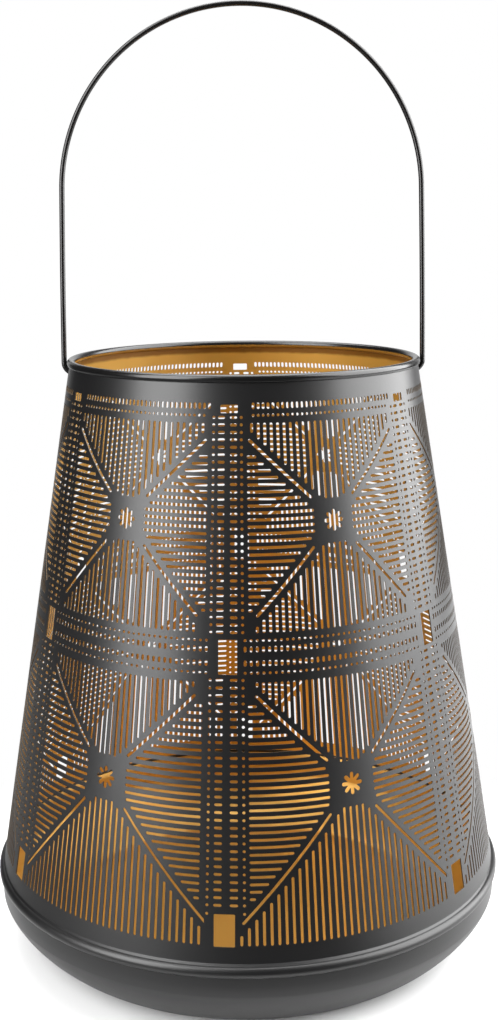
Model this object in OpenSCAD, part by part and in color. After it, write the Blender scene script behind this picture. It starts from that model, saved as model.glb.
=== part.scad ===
// Pierced sheet-metal lantern: a tapered shade with a cut-out pattern, folded onto a pressed pan,
// with a wired rolled rim and a round-rod handle that swings in two holes under the rim.
// Origin: middle of the pan's flat underside. Front is -Y, the handle's hinge line runs along X.

/* [Shade] */
// Height of the sheet wall, from the foot fold to the middle of the rim roll
shade_h = 293; // [240:1:360]
// Outer diameter of the wall at the rim
rim_d = 195.6; // [170:0.2:230]
// Thickness of the shade's sheet
sheet_t = 0.6; // [0.5:0.05:0.8]
// Overlap of the sheet's two edges at the upright seam
lap_w = 8; // [5:0.5:12]

/* [Rim roll] */
// Diameter of the stiffening wire inside the rolled rim
wire_d = 3; // [2.4:0.1:4]
// Clearance round the wire
wire_clear = 0.1; // [0.05:0.05:0.2]
// How far the middle of the roll lies inside the wall's outer face
roll_inset = 0.7; // [0.4:0.1:1]
// Slit left between the sheet's raw edge and the wall
roll_slit = 0.25; // [0.15:0.05:0.35]

/* [Base pan] */
// Outer diameter of the pan's upright side
pan_d = 294.4; // [270:0.2:330]
// Thickness of the pan's sheet
pan_t = 0.8; // [0.6:0.05:1]
// Diameter of the flat floor
floor_d = 236; // [180:1:250]
// Height of the rounded flank between the floor and the upright side
flank_h = 29.5; // [20:0.5:34]
// Height of the middle of the folded seam above the underside
seam_z = 42.9; // [39:0.1:55]
// Height of the folded seam's bead
bead_h = 6.2; // [5.4:0.1:8]
// How far the bead stands out from the pan's side
bead_out = 1.8; // [1.4:0.1:2.6]
// How far the wall's foot stands inside the pan's outer face
foot_inset = 1; // [0.8:0.1:1.6]

/* [Handle] */
// Diameter of the handle's rod
rod_d = 3; // [2.4:0.1:4]
// Height of the whole lantern with the handle upright
lantern_h = 532; // [480:1:620]
// Outer width of the handle's arch
arch_w = 201.6; // [180:0.2:225]
// Centreline radius of the bend at each end of the rod
bend_r = 6; // [5:0.25:8]
// Length of the straight end inside the wall
end_l = 5; // [3:0.5:8]
// Gap between the rod and the rim roll
rod_gap = 0.4; // [0.3:0.05:0.7]
// Clearance round the rod in its hole through the wall
hole_clear = 1; // [0.8:0.1:1.4]

/* [Pattern] */
// Number of pierced panels round the shade
panels = 6; // [4:1:6]
// Angle from one column of dashes to the next
panel_deg = 58.15; // [52:0.05:59]
// Angle of the first column after the upright seam, from the front
seam_deg = 122.15; // [100:0.05:180]
// Width of a slot
slot_w = 3.4; // [2:0.1:4]
// Spacing of the slots in the crossed fields and the level rows
slot_pitch = 14; // [11:0.25:18]
// Length of a dash in the columns
dash_l = 6; // [4:0.25:6.5]
// Spacing of the dashes in the columns
dash_pitch = 16; // [12:0.25:20]
// Distance from a diagonal slot's middle to the slots beside it
band_w = 5.4; // [4.4:0.1:7]
// Overall width of the eight-petalled flower
flower_d = 11; // [8:0.2:14]
// Width of a flower's petal
petal_w = 2.1; // [1.5:0.1:3]
// Height of the plain plate round a flower
plate_h = 25; // [20:0.5:30]

/* [Hidden] */
$fn = 96;

// one overrun for all cuts
over = 2;
// pierced lengths of the wall are pressed in by this much halfway up, between plain ribs
press_in = 0.02;
rib_deg = 0.5;
// gap between the pan's upright edge and the fold that holds it
fold_gap = 0.3;

// wall of the shade: a cone from the foot fold to the rim
pan_r = pan_d / 2;
foot_r = pan_r - foot_inset;
rim_r = rim_d / 2;
foot_z = seam_z + bead_h / 2;
rim_z = foot_z + shade_h;
taper = (foot_r - rim_r) / shade_h;
tilt = atan(taper);
function wall_r(z) = rim_r + taper * (rim_z - z);
function level(share) = foot_z + share * shade_h;
function arc_deg(l, z) = l / wall_r(z) * 180 / PI;

// roll at the rim
wire_r = wire_d / 2;
roll_in_r = wire_r + wire_clear;
roll_r = roll_in_r + sheet_t;
roll_mid_r = rim_r - roll_inset;
roll_low_z = rim_z - roll_in_r - sheet_t / 2;
slit_deg = -50;

// fold at the foot: an oval hem of the shade's sheet over the pan's upright edge
bead_mid_r = pan_r - pan_t;
bead_half_w = bead_out + pan_t;
bead_half_h = bead_h / 2;
fold_end_deg = -62;
pan_top_z = seam_z + bead_half_h - sheet_t - fold_gap;
floor_r = floor_d / 2;
flank_power = 1.35;

// handle: arch, two straight legs, two bends and two short ends
rod_r = rod_d / 2;
hole_r = rod_r + hole_clear;
arch_r = arch_w / 2 - rod_r;
arch_z = lantern_h - rod_r - arch_r;
bend_lean_deg = 205;
// how far each half of the arch runs past the top before it is trimmed
past_deg = 6;
bend_off = bend_r - roll_r - rod_r - rod_gap;
aim_x = roll_mid_r + bend_off * cos(bend_lean_deg);
aim_z = rim_z + bend_off * sin(bend_lean_deg);
aim_dist = norm([aim_x, arch_z - aim_z]);
// lean and length of the legs, rounded so that the rod's pieces meet face to face
fine = 1000;
leg_deg = round(fine * (acos((arch_r - bend_r) / aim_dist) - atan2(arch_z - aim_z, aim_x))) / fine;
leg_l = round(fine * sqrt(pow(aim_dist, 2) - pow(arch_r - bend_r, 2))) / fine;
bend_x = (arch_r - bend_r) * cos(leg_deg) + leg_l * sin(leg_deg);
bend_z = arch_z + (arch_r - bend_r) * sin(leg_deg) - leg_l * cos(leg_deg);
// the hinge line passes where the bend crosses the middle of the wall
hole_x = wall_r(bend_z) - sheet_t / 2;
cross_deg = tilt - acos((hole_x - bend_x) * cos(tilt) / bend_r);
hinge_z = bend_z + bend_r * sin(cross_deg);

// levels of the pattern, as shares of the wall's height
row_shares = [0.9525, 0.5319, 0.0621];
pierced_shares = [0.017, 0.566, 0.9676];
// each crossed field: top edge, flower, bottom edge
field_shares = [[0.925, 0.7554, 0.574], [0.4875, 0.2992, 0.0375]];
// angles from the middle of a panel or column, as shares of the panel's angle
corner_shares = [[0.399, 0.374], [0.3783, 0.405]];
side_share = 0.4093;
plate_share = 0.1;
dash_share = 0.0447;
// whole degrees from a column's middle to the rib before it, and from the parted panel's middle
// to its plain strip
edge_deg = round(panel_deg / 12);
plain_deg = 360 - panels * panel_deg;
low_z = level(pierced_shares[0]);
waist_z = level(pierced_shares[1]);
high_z = level(pierced_shares[2]);

// window widths at the rim and at the foot, and heights from the top row down
rim_window_w = 8.6;
foot_window_w = 11.1;
top_window_h = 4.2;
mid_window_h = 17.5;
foot_window_h = 16.7;
// drop from a field's edge to the ends of its diagonals
corner_drop = 8;
// height of the short slots in the level rows
row_slot_h = 5;

// points of a quarter of a rounded flank, from the floor out to the upright side
function flank(r0, r1, z0, z1, n = 14) = [
  for (i = [0 : n])
    [r0 + (r1 - r0) * pow(sin(90 * i / n), 2 / flank_power),
     z1 - (z1 - z0) * pow(cos(90 * i / n), 2 / flank_power)]
];

// points of an oval arc in the profile plane
function oval(cr, cz, rr, rz, a0, a1, n = 16) = [
  for (i = [0 : n])
    [cr + rr * cos(a0 + (a1 - a0) * i / n), cz + rz * sin(a0 + (a1 - a0) * i / n)]
];

// points of a list in the other order
function backwards(list) = [for (i = [len(list) - 1 : -1 : 0]) list[i]];

// cut through the wall, with its sides on planes through the axis
module wall_cut(deg, z, w, h) {
  half_deg = arc_deg(w, z) / 2;
  r_in = wall_r(z + h / 2) - over;
  r_out = (wall_r(z - h / 2) + over) / cos(half_deg);
  rotate([0, 0, deg - 90])
  translate([0, 0, z - h / 2])
  linear_extrude(h)
  polygon([
    [r_in * cos(half_deg), -r_in * sin(half_deg)],
    [r_out * cos(half_deg), -r_out * sin(half_deg)],
    [r_out * cos(half_deg), r_out * sin(half_deg)],
    [r_in * cos(half_deg), r_in * sin(half_deg)]
  ]);
}

// upright slot between two levels
module upright_slot(deg, z0, z1) {
  wall_cut(deg, (z0 + z1) / 2, slot_w, abs(z1 - z0));
}

// level slot between two angles
module level_slot(z, deg0, deg1) {
  wall_cut((deg0 + deg1) / 2, z, abs(deg1 - deg0) * PI / 180 * wall_r(z), slot_w);
}

// straight bar laid against the wall and turned in its plane
module bar_cut(deg, z, turn_deg, l, w) {
  rotate([0, 0, deg])
  translate([0, -wall_r(z), z])
  rotate([-tilt, turn_deg, 0])
  cube([l, 2 * (over + sheet_t), w], center = true);
}

// diagonal slot from a corner of a field to its middle plate
module diagonal_slot(deg0, z0, deg1, z1) {
  z = (z0 + z1) / 2;
  dx = (deg1 - deg0) * PI / 180 * wall_r(z);
  dz = (z1 - z0) / cos(tilt);
  bar_cut((deg0 + deg1) / 2, z, -atan2(dz, dx), norm([dx, dz]), slot_w / 2);
}

// half of a crossed field, above or below its flower
module field_half(z_mid, z_edge, corner_deg) {
  plate_deg = plate_share * panel_deg;
  side_deg = side_share * panel_deg;
  side = sign(z_edge - z_mid);
  z_plate = z_mid + side * plate_h / 2;
  z_corner = z_edge - side * corner_drop;
  slope = (z_corner - z_plate) / (corner_deg - plate_deg);

  // upright slots between the edge and the diagonals
  step = arc_deg(slot_pitch, (z_plate + z_edge) / 2);
  count = floor(corner_deg / step - 1 / 3);
  for (i = [-count : count]) {
    z_tip = z_plate + slope * max(0, abs(i * step) - plate_deg) + side * band_w;
    if (abs(z_edge - z_tip) > slot_w)
      upright_slot(i * step, z_tip, z_edge);
  }

  // level slots between the diagonals and the panel's sides
  rows = floor(abs(z_corner - z_mid) / slot_pitch - 1 / 2);
  for (i = [0 : rows], m = [-1, 1]) {
    z = z_mid + side * (i + 1 / 2) * slot_pitch;
    tip_deg = plate_deg + max(0, (z - z_plate) / slope) + arc_deg(band_w, z);
    if (side_deg - tip_deg > arc_deg(slot_w, z))
      level_slot(z, m * tip_deg, m * side_deg);
  }

  for (m = [-1, 1])
    diagonal_slot(m * corner_deg, z_corner, m * plate_deg, z_plate);
}

// crossed field of slots with a flower in its plain middle
module field(shares, corners) {
  z_mid = level(shares[1]);
  field_half(z_mid, level(shares[0]), corners[0] * panel_deg);
  field_half(z_mid, level(shares[2]), corners[1] * panel_deg);
  for (turn_deg = [0 : 45 : 135])
    bar_cut(0, z_mid, turn_deg, flower_d, petal_w);
}

// level row of short upright slots
module slot_row(z) {
  step = arc_deg(slot_pitch, z);
  count = floor(side_share * panel_deg / step);
  for (i = [-count : count])
    wall_cut(i * step, z, slot_w, row_slot_h);
}

// everything cut between one column and the next
module panel_cuts() {
  field(field_shares[0], corner_shares[0]);
  field(field_shares[1], corner_shares[1]);
  slot_row(level(row_shares[0]));
  slot_row(level(row_shares[1]));
}

// column of paired dashes with its three windows
module column_cuts() {
  heights = [top_window_h, mid_window_h, foot_window_h];
  for (i = [0 : 2]) {
    z = level(row_shares[i]);
    w = foot_window_w + (rim_window_w - foot_window_w) * (z - foot_z) / shade_h;
    wall_cut(0, z, w, heights[i]);
  }
  for (i = [0, 1]) {
    z_top = level(row_shares[i]) - heights[i] / 2 - slot_w;
    z_low = level(row_shares[i + 1]) + heights[i + 1] / 2 + slot_w;
    count = floor((z_top - z_low) / dash_pitch);
    for (k = [0 : count], m = [-1, 1])
      wall_cut(m * dash_share * panel_deg, z_top - k * (z_top - z_low) / count, dash_l, slot_w / 2);
  }
}

// length of plain wall between two angles and two levels
module wall_length(deg0, deg1, z0, z1, thick) {
  rotate_extrude(angle = deg1 - deg0, start = deg0 - 90)
  polygon([
    [wall_r(z0) - thick, z0],
    [wall_r(z0), z0],
    [wall_r(z1), z1],
    [wall_r(z1) - thick, z1]
  ]);
}

// length of wall to be pierced, pressed in a little at its waist
module pressed_length(deg0, deg1) {
  waist_r = wall_r(waist_z) - press_in;
  rotate_extrude(angle = deg1 - deg0, start = deg0 - 90)
  polygon([
    [wall_r(low_z) - sheet_t, low_z],
    [wall_r(low_z), low_z],
    [waist_r, waist_z],
    [wall_r(high_z), high_z],
    [wall_r(high_z) - sheet_t, high_z],
    [waist_r - sheet_t, waist_z]
  ]);
}

// plain rib, then the length of wall from a column to an end angle, with the column and the
// panel after it cut out
module pierced_length(deg, end_deg) {
  start_deg = deg - edge_deg;
  wall_length(start_deg, start_deg + rib_deg, low_z, high_z, sheet_t);
  difference() {
    pressed_length(start_deg + rib_deg, end_deg);
    rotate([0, 0, deg]) column_cuts();
    rotate([0, 0, deg + panel_deg / 2]) panel_cuts();
  }
}

// the panel that the upright seam parts, with a plain strip beside its middle plate
module parted_length(deg) {
  strip_deg = deg + panel_deg / 2 + edge_deg;
  pierced_length(deg, strip_deg);
  lapped_length(strip_deg);
  difference() {
    pressed_length(strip_deg + plain_deg, deg + panel_deg - edge_deg + plain_deg);
    rotate([0, 0, deg + panel_deg / 2 + plain_deg]) panel_cuts();
  }
}

// plain strip of wall where the sheet's two edges lap
module lapped_length(deg) {
  lap_deg = arc_deg(lap_w, foot_z);
  mid_deg = deg + plain_deg / 2;
  wall_length(deg, deg + plain_deg, low_z, high_z, sheet_t);
  wall_length(mid_deg - lap_deg / 2, mid_deg + lap_deg / 2, low_z, high_z, 2 * sheet_t);
}

// plain collar of the wall with the rolled rim and the handle's two holes
module rolled_rim() {
  difference() {
    wall_length(0, 360, high_z, roll_low_z, sheet_t);
    for (m = [-1, 1])
      translate([m * hole_x, 0, hinge_z])
      rotate([0, 90, 0])
      cylinder(h = 2 * over, r = hole_r, center = true);
  }
  rotate_extrude()
  translate([roll_mid_r, rim_z])
  difference() {
    circle(roll_r);
    circle(roll_in_r);
    rotate(slit_deg)
    translate([roll_r, 0])
    square([roll_r, roll_slit], center = true);
  }
}

// plain foot of the wall and its fold over the pan's edge
module folded_foot() {
  rotate_extrude()
  polygon(concat(
    [[wall_r(low_z), low_z], [wall_r(low_z) - sheet_t, low_z], [foot_r - sheet_t, foot_z - sheet_t]],
    oval(bead_mid_r, seam_z, bead_half_w - sheet_t, bead_half_h - sheet_t, 90, fold_end_deg),
    oval(bead_mid_r, seam_z, bead_half_w, bead_half_h, fold_end_deg, 90),
    [[foot_r, foot_z]]
  ));
}

module pierced_shade() {
  color("#3a3633")
  union() {
    rolled_rim();
    folded_foot();
    for (k = [0 : panels - 2])
      pierced_length(seam_deg + k * panel_deg, seam_deg + (k + 1) * panel_deg - edge_deg);
    parted_length(seam_deg + (panels - 1) * panel_deg);
  }
}

module rim_wire() {
  color("#8a8680")
  rotate_extrude()
  translate([roll_mid_r, rim_z])
  circle(wire_r);
}

module base_pan() {
  color("#454240")
  rotate_extrude()
  polygon(concat(
    [[0, pan_t], [0, 0]],
    flank(floor_r, pan_r, 0, flank_h),
    [[pan_r, pan_top_z], [pan_r - pan_t, pan_top_z]],
    backwards(flank(floor_r, pan_r - pan_t, pan_t, flank_h))
  ));
}

// arc of the rod in the upright plane of the handle
module rod_arc(r, deg0, deg1) {
  rotate([90, 0, 0])
  rotate_extrude(angle = deg1 - deg0, start = deg0)
  translate([r, 0])
  circle(rod_r);
}

// half of the handle on the +X side, from the arch's centre: half of the arch, leg, bend and end
module handle_half() {
  difference() {
    translate([0, 0, arch_z])
    rotate([0, -leg_deg, 0]) {
      rod_arc(arch_r, 0, 90 + past_deg - leg_deg);
      translate([arch_r, 0, -leg_l])
      cylinder(h = leg_l, r = rod_r);
      translate([arch_r - bend_r, 0, -leg_l]) {
        rod_arc(bend_r, -90, 0);
        translate([0, 0, -bend_r])
        rotate([0, -90, 0])
        cylinder(h = end_l, r = rod_r);
      }
    }
    // trimmed at the top, so that the halves meet face to face
    translate([-arch_r, -arch_r, arch_z])
    cube([arch_r, 2 * arch_r, 2 * arch_r]);
  }
}

module bail_handle() {
  color("#2a2826")
  union() {
    handle_half();
    rotate([0, 0, 180]) handle_half();
  }
}

pierced_shade();
rim_wire();
base_pan();
bail_handle();
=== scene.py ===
import math
import bpy
import numpy as np
from mathutils import Matrix, Vector
from mathutils.geometry import delaunay_2d_cdt


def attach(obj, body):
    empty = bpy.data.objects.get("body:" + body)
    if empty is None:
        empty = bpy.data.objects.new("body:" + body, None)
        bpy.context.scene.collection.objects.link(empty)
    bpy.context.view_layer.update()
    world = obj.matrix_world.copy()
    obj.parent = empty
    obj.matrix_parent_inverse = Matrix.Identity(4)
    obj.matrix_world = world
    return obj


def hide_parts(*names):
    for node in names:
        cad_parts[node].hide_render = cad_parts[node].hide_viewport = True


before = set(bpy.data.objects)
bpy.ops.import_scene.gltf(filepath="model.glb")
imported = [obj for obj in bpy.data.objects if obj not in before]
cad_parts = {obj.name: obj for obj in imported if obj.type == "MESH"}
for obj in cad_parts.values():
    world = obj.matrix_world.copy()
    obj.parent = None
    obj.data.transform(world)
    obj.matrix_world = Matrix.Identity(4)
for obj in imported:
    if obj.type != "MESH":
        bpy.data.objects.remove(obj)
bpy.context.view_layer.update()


# Base pan: a round pan pressed from 0.8 mm steel sheet, with a flat floor and a flank that rounds
# up to a short upright side. It is lacquered satin black outside and gold inside. The shade's foot
# is folded over its upright edge, and a candle would stand on its floor.

PAN_R, PAN_TOP, PAN_T = 0.1472, 0.0451, 0.0008          # outside, height of the edge, sheet
FLOOR_R, FLANK_H, FLANK_POWER = 0.118, 0.0295, 2 / 1.35
CUT_EDGE = 0.0002                                       # rounding of the pan's cut edge
FLOOR_RINGS, FLANK_RINGS, PAN_STEPS = 14, 28, 240
SLOW_WAVES, PEEL_DEPTH, COAT_ROUGH = 14.0, 0.0001, 0.3


def put_mesh(name, points, faces, smooth=True):
    """Makes an object at the origin from an array of points and a list of faces."""
    mesh = bpy.data.meshes.new(name)
    mesh.from_pydata(points.tolist(), [], faces)
    mesh.polygons.foreach_set("use_smooth", np.full(len(mesh.polygons), smooth))
    mesh.update()
    made = bpy.data.objects.new(name, mesh)
    bpy.context.scene.collection.objects.link(made)
    return made


def grid_faces(rows, columns, join_rows, join_columns):
    """Faces of a grid of points, counted row by row. A way that is joined returns to its start."""
    i, j = np.meshgrid(np.arange(rows if join_rows else rows - 1),
                       np.arange(columns if join_columns else columns - 1), indexing="ij")
    i2, j2 = (i + 1) % rows, (j + 1) % columns
    corners = [i * columns + j, i2 * columns + j, i2 * columns + j2, i * columns + j2]
    return np.stack(corners, -1).reshape(-1, 4).tolist()


def turned(name, profile, steps, dent=None, on_axis=False):
    """A profile of (radius, height) points carried round the Z axis.

    A point at angle a is (radius sin a, -radius cos a, height), with a counted from the front.
    dent, if given, says what to add to the radius and the height, from the angle and the point's
    share of the way along the profile. The profile closes on itself or, if on_axis, both its ends
    run level to the axis.
    """
    count = len(profile)
    a = np.linspace(0, 2 * np.pi, steps, endpoint=False)[:, None]
    radius, height = np.tile(profile[:, 0], (steps, 1)), np.tile(profile[:, 1], (steps, 1))
    if dent is not None:
        out, rise = dent(a, np.arange(count)[None, :] / count)
        radius, height = radius + out, height + rise
    points = np.stack([radius * np.sin(a), -radius * np.cos(a), height], -1).reshape(-1, 3)
    faces = grid_faces(steps, count, True, not on_axis)
    if on_axis:
        ring = np.arange(steps) * count
        after = np.roll(ring, -1)
        first, last = np.full(steps, len(points)), np.full(steps, len(points) + 1)
        faces += np.stack([after, ring, first], -1).tolist()
        faces += np.stack([ring + count - 1, after + count - 1, last], -1).tolist()
        points = np.concatenate([points, [[0, 0, profile[0, 1]], [0, 0, profile[-1, 1]]]])
    return put_mesh(name, points, faces)


def feed(node, sources):
    """Fills a node's inputs: a number or colour is set, another node's output is linked."""
    for name, source in sources.items():
        socket = node.inputs[name]
        if isinstance(source, bpy.types.NodeSocket):
            node.id_data.links.new(source, socket)
        elif socket.type == "RGBA":
            socket.default_value = (*source, 1)
        else:
            socket.default_value = source
    return node


def noise(place, waves, detail):
    """Noise from 0 to 1 at a place, with so many waves a metre and this much finer detail."""
    made = place.id_data.nodes.new("ShaderNodeTexNoise")
    return feed(made, {"Vector": place, "Scale": waves, "Detail": detail}).outputs["Fac"]


def mix_colours(share, one, other):
    """The colour one where share is 0, the colour other where it is 1, and mixed between."""
    made = share.id_data.nodes.new("ShaderNodeMix")
    made.data_type = "RGBA"
    return feed(made, {"Factor": share, "A": one, "B": other}).outputs["Result"]


def lacquer(name, dark, light, rough, grain, bump, metallic=0.0, coat=0.0):
    """A sprayed finish on Object coordinates.

    Slow noise moves the colour from dark to light and the roughness from the first of its two
    values to the second. Fine noise, with grain waves a metre, raises an orange-peel bump.
    """
    made = bpy.data.materials.new(name)
    made.use_nodes = True
    nodes = made.node_tree.nodes
    place = nodes.new("ShaderNodeTexCoord").outputs["Object"]
    slow = noise(place, SLOW_WAVES, 5.0)
    gloss = feed(nodes.new("ShaderNodeMapRange"),
                 {"Value": slow, "To Min": rough[0], "To Max": rough[1]})
    peel = feed(nodes.new("ShaderNodeBump"),
                {"Height": noise(place, grain, 3.0), "Strength": bump, "Distance": PEEL_DEPTH})
    feed(nodes["Principled BSDF"], {
        "Base Color": mix_colours(slow, dark, light), "Roughness": gloss.outputs["Result"],
        "Normal": peel.outputs["Normal"], "Metallic": metallic,
        "Coat Weight": coat, "Coat Roughness": COAT_ROUGH})
    return made


def flank(low_r, high_r, low_z, high_z):
    """Points of the flank, with t from 0 to 90 degrees and p the flank's power.

    The radius goes up from low_r by its whole gain times the sine of t to the power p, and the
    height comes down from high_z by its whole gain times the cosine of t to the power p.
    """
    t = np.linspace(0, np.pi / 2, FLANK_RINGS)
    return np.stack([low_r + (high_r - low_r) * np.sin(t) ** FLANK_POWER,
                     high_z - (high_z - low_z) * np.cos(t) ** FLANK_POWER], -1)


black = lacquer("black_satin_lacquer", (0.0028, 0.0028, 0.0032), (0.0042, 0.0039, 0.0039),
                rough=(0.33, 0.40), grain=900.0, bump=0.25, coat=0.1)
gold = lacquer("gold_satin_lacquer", (0.525, 0.300, 0.052), (0.625, 0.366, 0.072),
               rough=(0.31, 0.41), grain=700.0, bump=0.3, metallic=0.7, coat=0.5)

floor_steps = np.linspace(0.004, FLOOR_R - 0.002, FLOOR_RINGS)
pan_in = PAN_R - PAN_T
outside = np.concatenate([
    np.stack([floor_steps, 0 * floor_steps], -1),
    flank(FLOOR_R, PAN_R, 0, FLANK_H),
    [[PAN_R, 0.035], [PAN_R, 0.040], [PAN_R, PAN_TOP - CUT_EDGE], [PAN_R - CUT_EDGE, PAN_TOP]],
])
pan_profile = np.concatenate([
    outside,
    [[pan_in + CUT_EDGE, PAN_TOP], [pan_in, PAN_TOP - CUT_EDGE], [pan_in, 0.038]],
    flank(FLOOR_R, pan_in, PAN_T, FLANK_H)[::-1],
    np.stack([floor_steps[::-1], np.full(FLOOR_RINGS, PAN_T)], -1),
])
pan = turned("base_pan_pressed", pan_profile, PAN_STEPS, on_axis=True)
pan.data.materials.append(black)
pan.data.materials.append(gold)
gilded = np.arange(len(pan_profile) - 1) >= len(outside)
gilded = np.concatenate([np.tile(gilded, PAN_STEPS), np.repeat([False, True], PAN_STEPS)])
pan.data.polygons.foreach_set("material_index", gilded.astype(np.int32))
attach(pan, "body")
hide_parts("base_pan")


# Pierced wall of the shade: one steel sheet, 0.6 mm thick, punched with slots, dots, windows and
# flowers, rolled to a cone and lapped at the right-hand side. Black lacquer outside, gold inside,
# a little of both on the punched edges. Six lengths, each a column and the panel after it.

SHEET = 0.0006
RIM_R, RIM_Z = 0.0978, 0.339                 # outer face at the top edge
FOOT_R, FOOT_Z = 0.1462, 0.046               # outer face where the foot's fold begins
TAPER = (FOOT_R - RIM_R) / 0.293             # gain in radius over the shade's height
LOW_Z, HIGH_Z = 0.0475, 0.3290               # the part of the wall that is pierced
FIRST, PANEL = 122.15, 58.15                 # degrees: the first column, and from each to the next
SIDE_A, SIDE_B = -4.47, 53.68                # degrees: both sides of a length, from its column
STRIP = 360 - 6 * PANEL                      # degrees: the plain strip that parts the last panel
SEAM_A, LAP_HALF, LAP_INSET = 34.1, 1.57, 1.015
STEP_A = 3.0                                 # degrees: the longest straight piece of an edge
GRID_A, STEP_Z, CLEAR = 1.5, 0.006, 0.0017   # the net's spacing, and its distance from the holes
NET_R = 0.12                                 # the radius at which the net is laid flat
HALF_SLOT, HALF_DOT, HALF_PETAL = 0.00075, 0.0008, 0.00105
DOT_A, DASH_A = 3.9, 1.71                    # degrees from the middle of a column
BAND, SHORTEST = 0.0035, 0.0022              # half a diagonal's plain band, the least slot


def wall_r(z):
    """Radius of the wall's outer face at height z: it narrows evenly to the rim."""
    return RIM_R + TAPER * (RIM_Z - z)


def arc(first, last, count):
    """Points of a unit circle, (cosine, sine), at count even angles from first to last degree."""
    t = np.radians(np.linspace(first, last, count))
    return np.stack([np.cos(t), np.sin(t)], -1)


def on_wall(mid_a, mid_z, shape):
    """Lays a flat shape, (across, up) in metres, on the wall round the place (mid_a, mid_z)."""
    z = mid_z + shape[:, 1]
    return np.stack([mid_a + np.degrees(shape[:, 0] / wall_r(z)), z], -1)


def slots(a0, z0, a1, z1, half=HALF_SLOT):
    """Outlines of slots with round ends, as a list of arrays of (angle, height) points.

    Each runs from tip (a0, z0) to tip (a1, z1). Its middle line is straight in angle and height,
    and its edge lies half the slot's width from that line, measured along the wall. A slot with
    both tips at one place is a round dot.
    """
    ends = [np.atleast_1d(np.asarray(v, float)) for v in (a0, z0, a1, z1)]
    a0, z0, a1, z1 = np.broadcast_arrays(*ends)
    mid_a, mid_z = (a0 + a1) / 2, (z0 + z1) / 2
    degree = np.radians(1.0) * wall_r(mid_z)
    dx, dz = (a1 - a0) * degree, z1 - z0
    run = np.maximum(np.hypot(dx, dz), 1e-9)
    ux, uz = dx / run, dz / run
    reach = run / 2 - half
    dot = reach < 1e-6
    made = [None] * len(a0)
    for which in np.nonzero(dot)[0]:
        made[which] = on_wall(mid_a[which], mid_z[which], half * arc(0, 324, 10))
    cap_x, cap_z = arc(-90, 90, 5).T
    parts = np.maximum(1, np.ceil(np.abs(a1 - a0) / STEP_A)).astype(int)
    for n in np.unique(parts[~dot]):
        pick = np.nonzero((parts == n) & ~dot)[0]
        inner = np.linspace(-1, 1, n + 1)[1:-1]
        flat = 0 * inner
        along = np.concatenate([np.ones(5), inner[::-1], -np.ones(5), inner])
        ahead = np.concatenate([cap_x, flat, -cap_x, flat])
        aside = np.concatenate([cap_z, flat + 1, -cap_z, flat - 1])
        s, t = along * reach[pick, None] + ahead * half, aside * half
        line_x = s * ux[pick, None]
        off_x = -t * uz[pick, None]
        z = mid_z[pick, None] + s * uz[pick, None] + t * ux[pick, None]
        # the way along the line counts at its middle's radius, the way off it at its own
        a = mid_a[pick, None] + line_x / degree[pick, None] + np.degrees(off_x / wall_r(z))
        for k, which in enumerate(pick):
            made[which] = np.stack([a[k], z[k]], -1)
    return made


def window(mid_a, mid_z, width, height, corner=0.0005):
    """Outline of an upright rectangle with rounded corners: a quarter circle at each corner."""
    quarter = corner * arc(0, 90, 3)
    swapped = quarter[:, ::-1]
    x, z = width / 2 - corner, height / 2 - corner
    ring = np.concatenate([quarter + [x, z], swapped * [-1, 1] + [-x, z], [-x, -z] - quarter,
                           swapped * [1, -1] + [x, -z]])
    return [on_wall(mid_a, mid_z, ring)]


def flower(mid_a, mid_z, reach):
    """Outline of eight petals, 45 degrees apart: round tips, and valleys where their sides meet."""
    tip = [reach - HALF_PETAL, 0] + HALF_PETAL * arc(-90, 90, 5)
    valley = HALF_PETAL / math.sin(math.radians(22.5))
    ring = []
    for k in range(8):
        t = math.radians(45 * k)
        turn = np.array([[math.cos(t), math.sin(t)], [-math.sin(t), math.cos(t)]])
        middle = t + math.pi / 8
        ring += [tip @ turn, [[valley * math.cos(middle), valley * math.sin(middle)]]]
    return [on_wall(mid_a, mid_z, np.concatenate(ring))]


def evenly(middle, pitch, count):
    """count places, pitch apart, about a middle."""
    return middle + pitch * (np.arange(count) - (count - 1) / 2)


def crossed_field(mid, mid_z, top, bottom, side, tops, bottoms, rows, plate, upper, lower, width):
    """One field: upright slots above and below, level ones at both sides, clear of two diagonals.

    upper and lower are (corner angle, corner height, plate angle, plate height) of the diagonals,
    with the angles counted from the field's middle. plate is half the plain middle, as (angle,
    height). A slot's tip lies a band from the diagonal's middle line, measured square to it, and
    a slot that would be too short is left out. width is the flower's.
    """
    made = []
    reach = np.full(len(rows), plate[0])
    for (corner_a, corner_z, plate_a, plate_z), places, edge in (
            (upper, tops, top), (lower, bottoms, bottom)):
        wide = np.radians(corner_a - plate_a) * wall_r((corner_z + plate_z) / 2)
        high = abs(corner_z - plate_z)
        slant = math.hypot(wide, high)
        way = math.copysign(1, edge - mid_z)
        off = np.abs(places - mid)
        rise = high * (off - plate_a) / (corner_a - plate_a) + BAND * slant / wide
        tip = np.maximum(way * (plate_z - mid_z) + rise, plate[1])
        keep = way * (edge - mid_z) - tip > SHORTEST
        made += slots(places[keep], mid_z + way * tip[keep], places[keep], edge)
        made += slots([mid - corner_a, mid + corner_a], corner_z,
                      [mid - plate_a, mid + plate_a], plate_z)
        past = way * (rows - plate_z) / high * (corner_a - plate_a)
        reach = np.maximum(reach, plate_a + past + np.degrees(BAND * slant / high / wall_r(rows)))
    keep = side - reach > np.degrees(SHORTEST / wall_r(rows))
    for m in (-1, 1):
        made += slots(mid + m * reach[keep], rows[keep], mid + m * side, rows[keep])
    return made + flower(mid, mid_z, width / 2)


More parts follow.
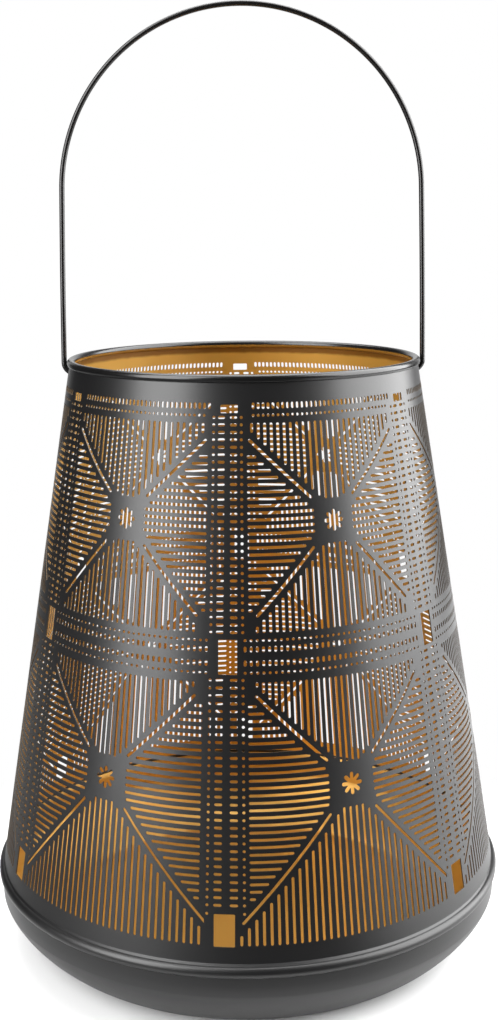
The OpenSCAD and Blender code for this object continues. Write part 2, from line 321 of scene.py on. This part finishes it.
def length_of_pattern():
    """Every outline cut in one length of wall: column at angle 0, middle of the panel at 29."""
    made = []
    # column: rows of dot, dash, dash and dot, the dashes growing downwards, and three windows
    for z, shortest, longest in ((np.linspace(0.3203, 0.2141, 30), 0.0036, 0.0039),
                                 (np.linspace(0.19025, 0.0770, 30), 0.0039, 0.00435)):
        half_dash = np.degrees(np.linspace(shortest, longest, 30) / 2 / wall_r(z))
        for m in (-1, 1):
            made += slots(m * DOT_A, z, m * DOT_A, z, HALF_DOT)
            made += slots(m * DASH_A - half_dash, z, m * DASH_A + half_dash, z)
    for m in (-1, 1):
        made += slots(m * DOT_A, 0.0727, m * DOT_A, 0.0727, HALF_DOT)
    made += window(0.45, 0.3245, width=0.0087, height=0.00415)
    made += window(0.25, 0.2017, width=0.0096, height=0.0175)
    made += window(-0.25, 0.0642, width=0.0109, height=0.0167)
    # level rows: slots over dots at the top; dots outside two rows of slots across the middle
    a = 7.35 + 1.424 * np.arange(33)
    made += slots(a, 0.3243, a, 0.3275)
    a = 7.30 + 1.424 * np.arange(32)
    made += slots(a, 0.32125, a, 0.32125)
    a = 4.45 + 1.4775 * np.arange(34)
    for z, half_height in ((0.2100, 0), (0.1938, 0), (0.2056, 0.0015), (0.1986, 0.0015)):
        made += slots(a, z - half_height, a, z + half_height)
    made += crossed_field(
        mid=29.07, mid_z=0.2675, top=0.3176, bottom=0.21365, side=23.75,
        tops=evenly(28.98, 1.849, 25), bottoms=evenly(28.7, 1.631, 27),
        rows=np.linspace(0.3043, 0.2248, 24), plate=(5.6, 0.0110),
        upper=(23.2, 0.3095, 6.1, 0.2794), lower=(21.75, 0.2216, 6.1, 0.2553), width=0.0111)
    made += crossed_field(
        mid=28.8, mid_z=0.1339, top=0.1892, bottom=0.0564, side=23.8,
        tops=evenly(28.7, 1.483, 30), bottoms=evenly(28.75, 1.542, 34),
        rows=np.linspace(0.1808, 0.0801, 28), plate=(5.5, 0.0115),
        upper=(22.0, 0.1826, 5.55, 0.1469), lower=(25.3, 0.0675, 5.5, 0.1203), width=0.0117)
    return made


def pierced_band(side_a, side_b, low, high, outlines):
    """A band of wall laid flat, with its holes: (angle, height) places and triangles.

    The band is cut into triangles whose edges follow every outline, and those inside an outline
    are dropped. A grid of places between the holes lets wide plain areas follow the wall's curve.
    """
    degree = math.radians(1.0) * NET_R
    heights = np.linspace(low, high, 1 + max(2, int((high - low) / STEP_Z)))
    angles = np.linspace(side_a, side_b, 1 + max(2, int((side_b - side_a) / STEP_A)))
    border = np.concatenate([
        np.stack([angles[:-1], np.full(len(angles) - 1, low)], -1),
        np.stack([np.full(len(heights) - 1, side_b), heights[:-1]], -1),
        np.stack([angles[:0:-1], np.full(len(angles) - 1, high)], -1),
        np.stack([np.full(len(heights) - 1, side_a), heights[:0:-1]], -1),
    ])
    grid_a, grid_z = np.meshgrid(np.arange(side_a + GRID_A, side_b - 0.7, GRID_A),
                                 np.arange(low + 0.003, high - 0.002, STEP_Z), indexing="ij")
    grid = np.stack([grid_a.ravel(), grid_z.ravel()], -1)
    if outlines:
        every = np.concatenate(outlines)
        near = np.full(len(grid), np.inf)
        for chunk in np.array_split(every, max(1, len(every) // 2000)):
            gap = np.hypot((grid[:, None, 0] - chunk[:, 0]) * degree,
                           grid[:, None, 1] - chunk[:, 1])
            near = np.minimum(near, gap.min(1))
        grid = grid[near > CLEAR]
    loops = [border] + outlines
    starts = np.cumsum([0] + [len(loop) for loop in loops])
    rings = [list(range(a, b)) for a, b in zip(starts[:-1], starts[1:])]
    places = np.concatenate(loops + [grid])
    flat = np.stack([places[:, 0] * degree, places[:, 1]], -1)
    out = delaunay_2d_cdt([Vector(p) for p in flat.tolist()], [], rings, 0, 1e-9)
    places, tris, inside = np.array([v[:] for v in out[0]]), np.array(out[2]), out[5]
    places[:, 0] /= degree
    # ring 0 is the border, and every other ring is a hole
    return places, tris[[bool(within) and max(within) == 0 for within in inside]]


def open_edges(tris):
    """Directed edges that only one triangle uses: the rims of the holes and of the band."""
    pairs = np.concatenate([tris[:, [0, 1]], tris[:, [1, 2]], tris[:, [2, 0]]]).astype(np.int64)
    apart = len(pairs) + tris.max()
    return pairs[~np.isin(pairs @ [apart, 1], pairs @ [1, apart])]


def stand_up(name, places, tris, start, inset=0.0):
    """Stands a flat net up as sheet: outer face, inner face and the cut edges between them.

    A place (a, z) becomes (r sin a, -r cos a, z), with r the wall's radius less inset, and the
    inner face lies one thickness further in, square to the wall. Both faces carry the cone's own
    normals, so the sheet shades evenly, and each cut edge carries its own.
    """
    count, tilt = len(places), math.atan(TAPER)
    a, z = np.radians(places[:, 0] + start), places[:, 1]
    r = wall_r(z) - inset
    normal = np.stack([np.sin(a) * math.cos(tilt), -np.cos(a) * math.cos(tilt),
                       np.full(count, math.sin(tilt))], -1)
    outer = np.stack([r * np.sin(a), -r * np.cos(a), z], -1)
    points = np.concatenate([outer, outer - normal * SHEET])
    rim, turned_over = open_edges(tris), tris[:, ::-1]
    cut = np.stack([rim[:, 1], rim[:, 0], rim[:, 0] + count, rim[:, 1] + count], -1)
    made = put_mesh(name, points, tris.tolist() + (turned_over + count).tolist() + cut.tolist())
    side = np.repeat([0, 1, 2], [len(tris), len(tris), len(cut)]).astype(np.int32)
    made.data.polygons.foreach_set("material_index", side)
    made.data.polygons.foreach_set("use_smooth", side < 2)
    corner = points[cut]
    across = np.cross(corner[:, 1] - corner[:, 0], corner[:, 3] - corner[:, 0])
    across /= np.maximum(np.linalg.norm(across, axis=1, keepdims=True), 1e-12)
    made.data.normals_split_custom_set(np.concatenate([
        normal[tris].reshape(-1, 3), -normal[turned_over].reshape(-1, 3),
        np.repeat(across, 4, axis=0)]).tolist())
    return made


edge_paint = lacquer("punched_edge", (0.05, 0.032, 0.014), (0.10, 0.06, 0.022),
                     rough=(0.45, 0.6), grain=900.0, bump=0.3, metallic=0.2)
pattern = length_of_pattern()
places, tris = pierced_band(SIDE_A, SIDE_B, LOW_Z, HIGH_Z, pattern)
wall_pieces = [stand_up(f"pierced_length_{k + 1}", places, tris, FIRST + k * PANEL)
               for k in range(5)]
# the last panel is parted just past its middle plate by the plain strip where the sheet laps
LAST = FIRST + 5 * PANEL
parted = [cut + [STRIP if cut[:, 0].mean() > SEAM_A else 0, 0] for cut in pattern]
places, tris = pierced_band(SIDE_A, SIDE_B + STRIP, LOW_Z, HIGH_Z, parted)
wall_pieces.append(stand_up("pierced_length_6_with_lap", places, tris, LAST))
# the sheet's other edge, lapped 8 mm behind it inside
lap_mid = SEAM_A + STRIP / 2
places, tris = pierced_band(lap_mid - LAP_HALF, lap_mid + LAP_HALF, LOW_Z, HIGH_Z, [])
wall_pieces.append(stand_up("lapped_edge", places, tris, LAST, LAP_INSET * SHEET))
for piece in wall_pieces:
    for finish in (black, gold, edge_paint):
        piece.data.materials.append(finish)
    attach(piece, "body")
    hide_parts("pierced_shade")


# Rim wire: drawn steel wire inside the curl, of which only a hair can be seen through the curl's
# slit. The CAD solid stays and gets the wire's own finish.

wire_finish = lacquer("drawn_wire", (0.35, 0.35, 0.34), (0.45, 0.45, 0.44),
                      rough=(0.3, 0.45), grain=600.0, bump=0.2, metallic=1.0)
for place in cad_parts["rim_wire"].material_slots:
    place.material = wire_finish


# Rolled rim: the top of the same sheet. A plain collar has one 5 mm hole at each side for the
# handle, and the edge above it is curled outwards round a 3 mm wire. The curl's raw edge stops
# just off the wall. The gold sprayed inside and the black outside meet on the curl. The gold under
# the curl and on its inner side is painted darker, as painted shade.

HINGE_Z, HOLE_R, COLLAR_TOP = 0.333062, 0.00252, 0.3371
ROLL_MID, ROLL_R, WIRE_HOLE = RIM_R - 0.0007, 0.0022, 0.0016
CURL_FROM, CURL_TO, CURL_POINTS, CURL_STEPS = -46.7, 306.7, 44, 256    # degrees and counts
SPECKLE = 0.0012                             # how far the edge of a sprayed colour strays
# painted shade: the band under the curl where the gold is painted brown
PAINTED_SHADE_FROM, PAINTED_SHADE_WHOLE = 0.3332, 0.3352     # heights between which the gold turns brown
GOLD_FROM, GOLD_WHOLE = RIM_Z + 0.0006, RIM_Z + 0.0002


def smooth_step(value, start, end):
    """0 up to start, 1 from end on, and an eased slope between. start may be the larger."""
    made = value.id_data.nodes.new("ShaderNodeMapRange")
    made.interpolation_type = "SMOOTHSTEP"
    feed(made, {"Value": value, "From Min": start, "From Max": end})
    return made.outputs["Result"]


def calculate(operation, *operands):
    """A Math node's result. The first operand is an output, the others outputs or numbers."""
    made = operands[0].id_data.nodes.new("ShaderNodeMath")
    made.operation = operation
    return feed(made, dict(enumerate(operands))).outputs["Value"]


def part_of(place, axis):
    """The X, Y or Z of a place."""
    made = place.id_data.nodes.new("ShaderNodeSeparateXYZ")
    return feed(made, {0: place}).outputs[axis]


def spray_and_painted_shade_by_height(finish, name, colour, grain, detail, start, end):
    """A copy of a finish that turns to another colour between two heights, with a speckled edge.

    The height plus SPECKLE times noise goes through a smooth step from start to end, and the
    result is the share of the other colour.
    """
    made = finish.copy()
    made.name = name
    nodes = made.node_tree.nodes
    shader = nodes["Principled BSDF"]
    place = nodes.new("ShaderNodeTexCoord").outputs["Object"]
    height = calculate("MULTIPLY_ADD", noise(place, grain, detail), SPECKLE, part_of(place, "Z"))
    share = smooth_step(height, start, end)
    under = shader.inputs["Base Color"].links[0].from_socket
    feed(shader, {"Base Color": mix_colours(share, under, colour)})
    return made


# painted shade under the curl: the gold is painted brown for the first few millimetres below the
# rim
gold_with_painted_shade = spray_and_painted_shade_by_height(gold, "gold_with_painted_shade_at_the_rim", (0.21, 0.094, 0.010), 160.0, 4.0,
                       PAINTED_SHADE_FROM, PAINTED_SHADE_WHOLE)
hole_y, hole_z = (HOLE_R * arc(0, 352.5, 48)).T
hole_z += HINGE_Z
hole = np.stack([np.degrees(np.arcsin(hole_y / wall_r(hole_z))), hole_z], -1)
for side, start in (("left", -90.0), ("right", 90.0)):
    places, tris = pierced_band(-90.0, 90.0, HIGH_Z, COLLAR_TOP, [hole])
    collar = stand_up(f"rim_collar_{side}", places, tris, start)
    for finish in (black, gold_with_painted_shade, edge_paint):
        collar.data.materials.append(finish)
    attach(collar, "body")
    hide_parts("pierced_shade")

circle = arc(CURL_FROM, CURL_TO, CURL_POINTS)
curl = [ROLL_MID, RIM_Z] + np.concatenate([ROLL_R * circle, WIRE_HOLE * circle[::-1]])
roll = turned("rim_curl", curl, CURL_STEPS)

# the gold sprayed inside ends in a speckled edge halfway up the curl's inner side
glossy_black = lacquer("black_lacquer_on_the_curl", (0.0028, 0.0027, 0.0029),
                       (0.0042, 0.0039, 0.0038), rough=(0.20, 0.27), grain=600.0, bump=0.08)
# the gold overspray on the curl's inner side is real, and its dark brown is painted shade where the
# curl faces down
gold_overspray_and_painted_shade = spray_and_painted_shade_by_height(glossy_black, "black_with_gold_overspray_in_painted_shade", (0.20, 0.092, 0.012),
                         900.0, 3.0, GOLD_FROM, GOLD_WHOLE)
roll.data.materials.append(glossy_black)
roll.data.materials.append(gold_overspray_and_painted_shade)
facing = np.linspace(CURL_FROM, CURL_TO, CURL_POINTS)
inward = np.zeros(len(curl), np.int32)
inward[:CURL_POINTS - 1] = (facing[:-1] > 140) & (facing[:-1] < 268)
roll.data.polygons.foreach_set("material_index", np.tile(inward, CURL_STEPS))
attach(roll, "body")
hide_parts("pierced_shade")


# Folded foot: the bottom of the sheet turns outwards and is pressed down over the pan's upright
# edge. The press leaves small puckers along the fold's lower edge, where the metal is gathered.

BEAD_R, BEAD_Z, BEAD_W, BEAD_H = 0.1464, 0.0429, 0.0026, 0.0031     # middle, half width and height
FOLD_END, FOLD_POINTS, FOOT_STEPS = -62, 26, 480
PUCKER_OUT, PUCKER_UP, PUCKER_REACH = 0.00012, 0.0001, 0.09


def puckers(a, share):
    """Small waves of the fold's lower edge, outwards and up, at angle a round the foot.

    Each is a fast sine times a slow one, and a bell curve of the share of the way along the
    profile makes it strongest halfway, where the fold ends.
    """
    bell = np.exp(-((share - 0.5) / PUCKER_REACH) ** 2)
    wave = np.sin(61 * a) * np.sin(7 * a + 1) + 0.6 * np.sin(97 * a + 2) * np.sin(5 * a)
    return PUCKER_OUT * bell * wave, PUCKER_UP * bell * np.cos(83 * a + 0.5) * np.sin(6 * a + 0.4)


oval = arc(90, FOLD_END, FOLD_POINTS)
fold_profile = np.concatenate([
    [[wall_r(LOW_Z), LOW_Z], [wall_r(LOW_Z) - SHEET, LOW_Z], [FOOT_R - SHEET, FOOT_Z - SHEET]],
    [BEAD_R, BEAD_Z] + [BEAD_W - SHEET, BEAD_H - SHEET] * oval,
    [BEAD_R, BEAD_Z] + [BEAD_W, BEAD_H] * oval[::-1],
    [[FOOT_R, FOOT_Z]],
])
foot = turned("folded_foot", fold_profile, FOOT_STEPS, puckers)
foot.data.materials.append(black)
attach(foot, "body")
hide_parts("pierced_shade")


# Handle: one 3 mm round rod, bent to an arch with two straight legs. Each end turns in through its
# hole under the rim, so that the handle swings. It is dipped in a glossier black lacquer.

ROD_R, ROD_SIDES = 0.0015, 24
ARCH_R, ARCH_Z, BEND_R, LEG_L, END_L = 0.0993, 0.4312, 0.006, 0.095087, 0.005
LEAN, BOW = 1.266, 0.00017                   # degrees out from upright, metres


def rod_path():
    """Middle line of the rod, as (x, z) points: end, bend, leg, arch, leg, bend, end.

    The legs lean out, each end is bent square to its leg, and a leg bows out by BOW times the
    sine of its share of the way up, from 0 to 180 degrees.
    """
    down, out = arc(LEAN - 90, LEAN, 2)
    arch_mid = np.array([0, ARCH_Z])
    bend_mid = arch_mid + (ARCH_R - BEND_R) * out + LEG_L * down
    end = bend_mid + BEND_R * down - np.linspace(END_L, 0, 6)[:-1, None] * out
    bend = bend_mid + BEND_R * arc(LEAN - 90, LEAN, 20)[:-1]
    top, low = arch_mid + ARCH_R * out, bend_mid + BEND_R * out
    s = np.linspace(0, 1, 24)[:-1, None]
    leg = low + (top - low) * s + BOW * np.sin(np.pi * s) * out
    arch = arch_mid + ARCH_R * arc(LEAN, 90, 60)
    half = np.concatenate([end, bend, leg, arch])
    return np.concatenate([half, half[-2::-1] * [-1, 1]])


def rod(name, path):
    """A round rod along a path of (x, z) points: a circle square to the path at each of them.

    At both ends the circle shrinks over the last half millimetre, and a flat face closes it.
    """
    ease = np.array([0.02, 0.35, 0.7, 0.9, 1.0])
    lead = np.array([[0.0], [0.06], [0.16], [0.32], [0.5]]) * 0.001
    run = np.gradient(path, axis=0)
    run /= np.linalg.norm(run, axis=1, keepdims=True)
    middle = np.concatenate([path[0] + run[0] * lead, path[1:-1],
                             (path[-1] - run[-1] * lead)[::-1]])
    run = np.concatenate([np.repeat(run[:1], 5, 0), run[1:-1], np.repeat(run[-1:], 5, 0)])
    size = ROD_R * np.concatenate([ease, np.ones(len(path) - 2), ease[::-1]])[:, None]
    t = np.linspace(0, 2 * np.pi, ROD_SIDES, endpoint=False)
    level, depth = size * np.cos(t), size * np.sin(t)
    points = np.stack([middle[:, :1] - run[:, 1:] * level, depth,
                       middle[:, 1:] + run[:, :1] * level], -1).reshape(-1, 3)
    faces = grid_faces(len(middle), ROD_SIDES, False, True)
    first = list(range(ROD_SIDES))
    last = list(range(len(points) - 1, len(points) - 1 - ROD_SIDES, -1))
    return put_mesh(name, points, faces + [first, last])


dipped = lacquer("black_dipped_rod", (0.0026, 0.0022, 0.0022), (0.0044, 0.0036, 0.0033),
                 rough=(0.22, 0.29), grain=250.0, bump=0.05)
handle = rod("handle_rod", rod_path())
handle.data.materials.append(dipped)
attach(handle, "handle")
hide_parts("bail_handle")


# Floor, light and camera: a pale studio floor that runs into a white background, and three soft
# boxes, a wide one at the right, a narrow one at the front left and one overhead. The front is
# left dark, and the camera stands in front and a little above the rim, as in the photograph.

FLOOR_REACH, FLOOR_SIDES, FLOOR_ROUGH = 1.1, 96, 0.8
SEEN_GREY, PALE_GREY, LEFT_GREY, FRONT_GREY = 0.84, 0.55, 0.11, 0.02
NEAR_PAN, FADE_OUT, LEFTWARD = (0.235, 0.175), (0.12, 0.27), (-0.02, -0.16)   # metres
RIGHT_BACK, RIGHTWARD = (0.85, 0.53, 0), (0.0, 0.2)
ROOM, ROOM_MIRRORED, BEHIND = 0.12, 0.04, (0.84, 0.97)
LAMP_AWAY, LAMP_AIM_Z = 1.6, 0.2
PHOTO_H, FOCAL_PIXELS, FILM = 1020, 1392.15, 36.0
CAMERA_AT = (-0.00746, -0.78862, 0.41816)
PITCH, SWING, TILT = math.radians(11.904), math.radians(0.715), math.radians(0.482)


def measure(operation, place, other=(0, 0, 0)):
    """A Vector Math node's number: the length of a place, or its dot product with another."""
    made = place.id_data.nodes.new("ShaderNodeVectorMath")
    made.operation = operation
    return feed(made, {0: place, 1: other}).outputs["Value"]


def mix_shaders(share, one, other):
    """The shader one where share is 0, the shader other where it is 1, and mixed between."""
    made = share.id_data.nodes.new("ShaderNodeMixShader")
    return feed(made, {0: share, 1: one, 2: other}).outputs["Shader"]


def soft_box(name, azimuth, elevation, width, height, radiance):
    """A rectangle of even light, facing the lantern's middle. Its power is pi x area x radiance."""
    data = bpy.data.lights.new(name, "AREA")
    data.shape, data.size, data.size_y = "RECTANGLE", width, height
    data.energy = math.pi * width * height * radiance
    made = bpy.data.objects.new(name, data)
    bpy.context.scene.collection.objects.link(made)
    a, e = math.radians(azimuth), math.radians(elevation)
    away = Vector((math.sin(a) * math.cos(e), -math.cos(a) * math.cos(e), math.sin(e)))
    made.location = away * LAMP_AWAY + Vector((0, 0, LAMP_AIM_Z))
    made.rotation_mode = "QUATERNION"
    made.rotation_quaternion = (-away).to_track_quat("-Z", "Y")
    made.visible_camera = False


disc = np.pad(FLOOR_REACH * arc(0, 360 - 360 / FLOOR_SIDES, FLOOR_SIDES), ((0, 0), (0, 1)))
floor = put_mesh("studio_floor", disc, [list(range(FLOOR_SIDES))], smooth=False)
cover = bpy.data.materials.new("studio_floor_white")
cover.use_nodes = True
nodes = cover.node_tree.nodes
surface = nodes["Principled BSDF"]
by_camera = nodes.new("ShaderNodeLightPath").outputs["Is Camera Ray"]
spot = nodes.new("ShaderNodeTexCoord").outputs["Object"]
off_middle = measure("LENGTH", spot)
# painted light and shade, seen only in reflections and bounced light: black in front, grey at the
# left, and pale at the right and near the pan
dark = mix_colours(smooth_step(part_of(spot, "X"), *LEFTWARD), (FRONT_GREY,) * 3, (LEFT_GREY,) * 3)
near = smooth_step(off_middle, *NEAR_PAN)
at_right = smooth_step(measure("DOT_PRODUCT", spot, RIGHT_BACK), *RIGHTWARD)
mirrored = mix_colours(calculate("MAXIMUM", near, at_right), dark, (PALE_GREY,) * 3)
feed(surface, {"Base Color": mix_colours(by_camera, mirrored, (SEEN_GREY,) * 3),
               "Roughness": FLOOR_ROUGH})
# the camera sees it run into the white background
white = feed(nodes.new("ShaderNodeEmission"), {"Color": (1, 1, 1), "Strength": 1.0})
fade = calculate("MULTIPLY", smooth_step(off_middle, *FADE_OUT), by_camera)
feed(nodes["Material Output"],
     {"Surface": mix_shaders(fade, surface.outputs["BSDF"], white.outputs["Emission"])})
floor.data.materials.append(cover)

# the room is dim; the camera sees it white, and so do reflections of what stands behind
world = bpy.data.worlds.new("studio")
bpy.context.scene.world = world
world.use_nodes = True
nodes = world.node_tree.nodes
ray = nodes.new("ShaderNodeLightPath").outputs
dim = calculate("MULTIPLY_ADD", ray["Is Glossy Ray"], ROOM_MIRRORED - ROOM, ROOM)
room = feed(nodes["Background"], {"Color": (1, 1, 1), "Strength": dim})
white = feed(nodes.new("ShaderNodeBackground"), {"Color": (1, 1, 1), "Strength": 1.0})
way = nodes.new("ShaderNodeTexCoord").outputs["Generated"]
behind = smooth_step(part_of(way, "Y"), *BEHIND)
share = calculate("MULTIPLY_ADD", ray["Is Glossy Ray"], behind, ray["Is Camera Ray"])
feed(nodes["World Output"],
     {"Surface": mix_shaders(share, room.outputs["Background"], white.outputs["Background"])})

soft_box("soft_box_right", azimuth=93, elevation=27, width=2.3, height=2.1, radiance=7.7)
soft_box("soft_box_left", azimuth=-52, elevation=27, width=1.1, height=2.1, radiance=8.4)
soft_box("soft_box_top", azimuth=180, elevation=75, width=1.6, height=1.6, radiance=6.0)

camera = bpy.data.objects.new("camera", bpy.data.cameras.new("camera"))
bpy.context.scene.collection.objects.link(camera)
bpy.context.scene.camera = camera
camera.data.sensor_width = FILM
camera.data.lens = FOCAL_PIXELS * FILM / PHOTO_H
camera.data.clip_start, camera.data.clip_end = 0.01, 20
# swung to the right about the vertical, pitched down, then tilted about the line of sight
level = Vector((math.sin(SWING), math.cos(SWING), 0))
right = Vector((math.cos(SWING), -math.sin(SWING), 0))
upward = level * math.sin(PITCH) + Vector((0, 0, math.cos(PITCH)))
ahead = level * math.cos(PITCH) - Vector((0, 0, math.sin(PITCH)))
cam_right = right * math.cos(TILT) - upward * math.sin(TILT)
cam_up = right * math.sin(TILT) + upward * math.cos(TILT)
camera.rotation_mode = "QUATERNION"
camera.rotation_quaternion = Matrix((cam_right, cam_up, -ahead)).transposed().to_quaternion()
camera.location = CAMERA_AT
bpy.context.scene.view_settings.view_transform = "Standard"
